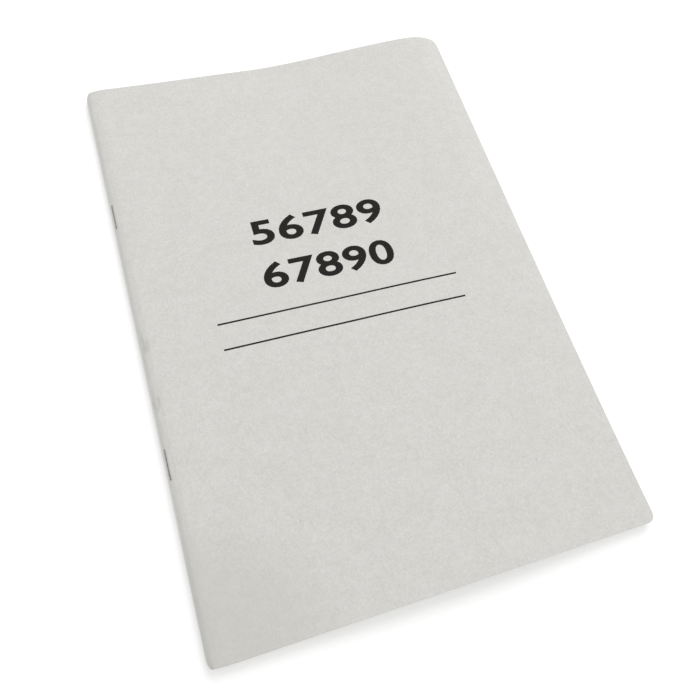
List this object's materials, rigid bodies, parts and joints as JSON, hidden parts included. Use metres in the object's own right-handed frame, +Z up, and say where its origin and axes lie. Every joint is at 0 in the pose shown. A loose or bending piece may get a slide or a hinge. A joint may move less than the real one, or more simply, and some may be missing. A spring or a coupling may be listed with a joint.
{
  "type": "record book",
  "caption": "Large floppy record book of folded sheets in a folded card cover, stapled through the fold and lying closed; the covers and leaves open.",
  "frame": {"origin": "middle of the closed book's box, on the surface that it lies on", "axes": "+X from the fold to the fore-edge, +Y from the tail to the head, +Z up from the back cover to the front cover"},
  "size_m": [0.2026, 0.29, 0.0191],
  "materials": {
    "card": "matt uncoated light grey card with fine fibres",
    "paper": "matt off-white ruled writing paper",
    "staple_wire": "bright drawn wire"
  },
  "bodies": {
    "back_cover": {"back_cover": "card"},
    "text_block": {"cover_fold": "card", "sheet_01_fold": "paper", "sheet_02_fold": "paper", "sheet_03_fold": "paper", "sheet_04_fold": "paper", "sheet_05_fold": "paper", "sheet_06_fold": "paper", "sheet_07_fold": "paper", "sheet_08_fold": "paper", "sheet_09_fold": "paper", "sheet_10_fold": "paper", "sheet_11_fold": "paper", "sheet_12_fold": "paper", "sheet_13_fold": "paper", "sheet_14_fold": "paper", "sheet_15_fold": "paper", "sheet_16_fold": "paper", "sheet_01_back_leaf": "paper", "sheet_02_back_leaf": "paper", "sheet_03_back_leaf": "paper", "sheet_04_back_leaf": "paper", "sheet_05_back_leaf": "paper", "sheet_06_back_leaf": "paper", "sheet_07_back_leaf": "paper", "sheet_08_back_leaf": "paper", "sheet_09_back_leaf": "paper", "sheet_10_back_leaf": "paper", "sheet_11_back_leaf": "paper", "sheet_12_back_leaf": "paper", "sheet_13_back_leaf": "paper", "sheet_14_back_leaf": "paper", "sheet_15_back_leaf": "paper", "sheet_16_back_leaf": "paper"},
    "leaf_01": {"sheet_01_front_leaf": "paper"},
    "leaf_02": {"sheet_02_front_leaf": "paper"},
    "leaf_03": {"sheet_03_front_leaf": "paper"},
    "leaf_04": {"sheet_04_front_leaf": "paper"},
    "leaf_05": {"sheet_05_front_leaf": "paper"},
    "leaf_06": {"sheet_06_front_leaf": "paper"},
    "leaf_07": {"sheet_07_front_leaf": "paper"},
    "leaf_08": {"sheet_08_front_leaf": "paper"},
    "leaf_09": {"sheet_09_front_leaf": "paper"},
    "leaf_10": {"sheet_10_front_leaf": "paper"},
    "leaf_11": {"sheet_11_front_leaf": "paper"},
    "leaf_12": {"sheet_12_front_leaf": "paper"},
    "leaf_13": {"sheet_13_front_leaf": "paper"},
    "leaf_14": {"sheet_14_front_leaf": "paper"},
    "leaf_15": {"sheet_15_front_leaf": "paper"},
    "leaf_16": {"sheet_16_front_leaf": "paper"},
    "front_cover": {"front_cover": "card"},
    "staples": {"tail_staple": "staple_wire", "head_staple": "staple_wire"}
  },
  "joints": [
    {"name": "back_cover_opening", "type": "hinge", "parent": "back_cover", "child": "text_block", "pos_m": [-0.09374, 0, 0], "axis": [0, -1, 0], "range_deg": [0, 60]},
    {"name": "front_cover_opening", "type": "hinge", "parent": "leaf_01", "child": "front_cover", "pos_m": [-0.09374, 0, 0.00506], "axis": [0, -1, 0], "range_deg": [0, 115]},
    {"name": "centre_opening", "type": "hinge", "parent": "text_block", "child": "leaf_01", "pos_m": [-0.09874, 0, 0.00252], "axis": [0, -1, 0], "range_deg": [0, 175], "deforming": ["cover_fold", "sheet_01_fold", "sheet_02_fold", "sheet_03_fold", "sheet_04_fold", "sheet_05_fold", "sheet_06_fold", "sheet_07_fold", "sheet_08_fold", "sheet_09_fold", "sheet_10_fold", "sheet_11_fold", "sheet_12_fold", "sheet_13_fold", "sheet_14_fold", "sheet_15_fold", "sheet_16_fold"]},
    {"name": "leaf_02_turn", "type": "hinge", "parent": "text_block", "child": "leaf_02", "pos_m": [-0.09874, 0, 0.00252], "axis": [0, -1, 0], "range_deg": [0, 175]},
    {"name": "leaf_03_turn", "type": "hinge", "parent": "text_block", "child": "leaf_03", "pos_m": [-0.09874, 0, 0.00252], "axis": [0, -1, 0], "range_deg": [0, 175]},
    {"name": "leaf_04_turn", "type": "hinge", "parent": "text_block", "child": "leaf_04", "pos_m": [-0.09874, 0, 0.00252], "axis": [0, -1, 0], "range_deg": [0, 175]},
    {"name": "leaf_05_turn", "type": "hinge", "parent": "text_block", "child": "leaf_05", "pos_m": [-0.09874, 0, 0.00252], "axis": [0, -1, 0], "range_deg": [0, 175]},
    {"name": "leaf_06_turn", "type": "hinge", "parent": "text_block", "child": "leaf_06", "pos_m": [-0.09874, 0, 0.00252], "axis": [0, -1, 0], "range_deg": [0, 175]},
    {"name": "leaf_07_turn", "type": "hinge", "parent": "text_block", "child": "leaf_07", "pos_m": [-0.09874, 0, 0.00252], "axis": [0, -1, 0], "range_deg": [0, 175]},
    {"name": "leaf_08_turn", "type": "hinge", "parent": "text_block", "child": "leaf_08", "pos_m": [-0.09874, 0, 0.00252], "axis": [0, -1, 0], "range_deg": [0, 175]},
    {"name": "leaf_09_turn", "type": "hinge", "parent": "text_block", "child": "leaf_09", "pos_m": [-0.09874, 0, 0.00252], "axis": [0, -1, 0], "range_deg": [0, 175]},
    {"name": "leaf_10_turn", "type": "hinge", "parent": "text_block", "child": "leaf_10", "pos_m": [-0.09874, 0, 0.00252], "axis": [0, -1, 0], "range_deg": [0, 175]},
    {"name": "leaf_11_turn", "type": "hinge", "parent": "text_block", "child": "leaf_11", "pos_m": [-0.09874, 0, 0.00252], "axis": [0, -1, 0], "range_deg": [0, 175]},
    {"name": "leaf_12_turn", "type": "hinge", "parent": "text_block", "child": "leaf_12", "pos_m": [-0.09874, 0, 0.00252], "axis": [0, -1, 0], "range_deg": [0, 175]},
    {"name": "leaf_13_turn", "type": "hinge", "parent": "text_block", "child": "leaf_13", "pos_m": [-0.09874, 0, 0.00252], "axis": [0, -1, 0], "range_deg": [0, 175]},
    {"name": "leaf_14_turn", "type": "hinge", "parent": "text_block", "child": "leaf_14", "pos_m": [-0.09874, 0, 0.00252], "axis": [0, -1, 0], "range_deg": [0, 175]},
    {"name": "leaf_15_turn", "type": "hinge", "parent": "text_block", "child": "leaf_15", "pos_m": [-0.09874, 0, 0.00252], "axis": [0, -1, 0], "range_deg": [0, 175]},
    {"name": "leaf_16_turn", "type": "hinge", "parent": "text_block", "child": "leaf_16", "pos_m": [-0.09874, 0, 0.00252], "axis": [0, -1, 0], "range_deg": [0, 175]},
    {"name": "staple_turn", "type": "hinge", "parent": "text_block", "child": "staples", "pos_m": [-0.09874, 0, 0.00252], "axis": [0, -1, 0], "range_deg": [0, 151]}
  ],
  "couplings": [
    {"joint": "leaf_02_turn", "follows": "centre_opening", "ratio": 0.9985},
    {"joint": "leaf_03_turn", "follows": "centre_opening", "ratio": 0.997},
    {"joint": "leaf_04_turn", "follows": "centre_opening", "ratio": 0.9955},
    {"joint": "leaf_05_turn", "follows": "centre_opening", "ratio": 0.994},
    {"joint": "leaf_06_turn", "follows": "centre_opening", "ratio": 0.9925},
    {"joint": "leaf_07_turn", "follows": "centre_opening", "ratio": 0.991},
    {"joint": "leaf_08_turn", "follows": "centre_opening", "ratio": 0.9895},
    {"joint": "leaf_09_turn", "follows": "centre_opening", "ratio": 0.988},
    {"joint": "leaf_10_turn", "follows": "centre_opening", "ratio": 0.9865},
    {"joint": "leaf_11_turn", "follows": "centre_opening", "ratio": 0.985},
    {"joint": "leaf_12_turn", "follows": "centre_opening", "ratio": 0.9835},
    {"joint": "leaf_13_turn", "follows": "centre_opening", "ratio": 0.982},
    {"joint": "leaf_14_turn", "follows": "centre_opening", "ratio": 0.9805},
    {"joint": "leaf_15_turn", "follows": "centre_opening", "ratio": 0.979},
    {"joint": "leaf_16_turn", "follows": "centre_opening", "ratio": 0.9775},
    {"joint": "staple_turn", "follows": "centre_opening", "ratio": 0.861}
  ]
}
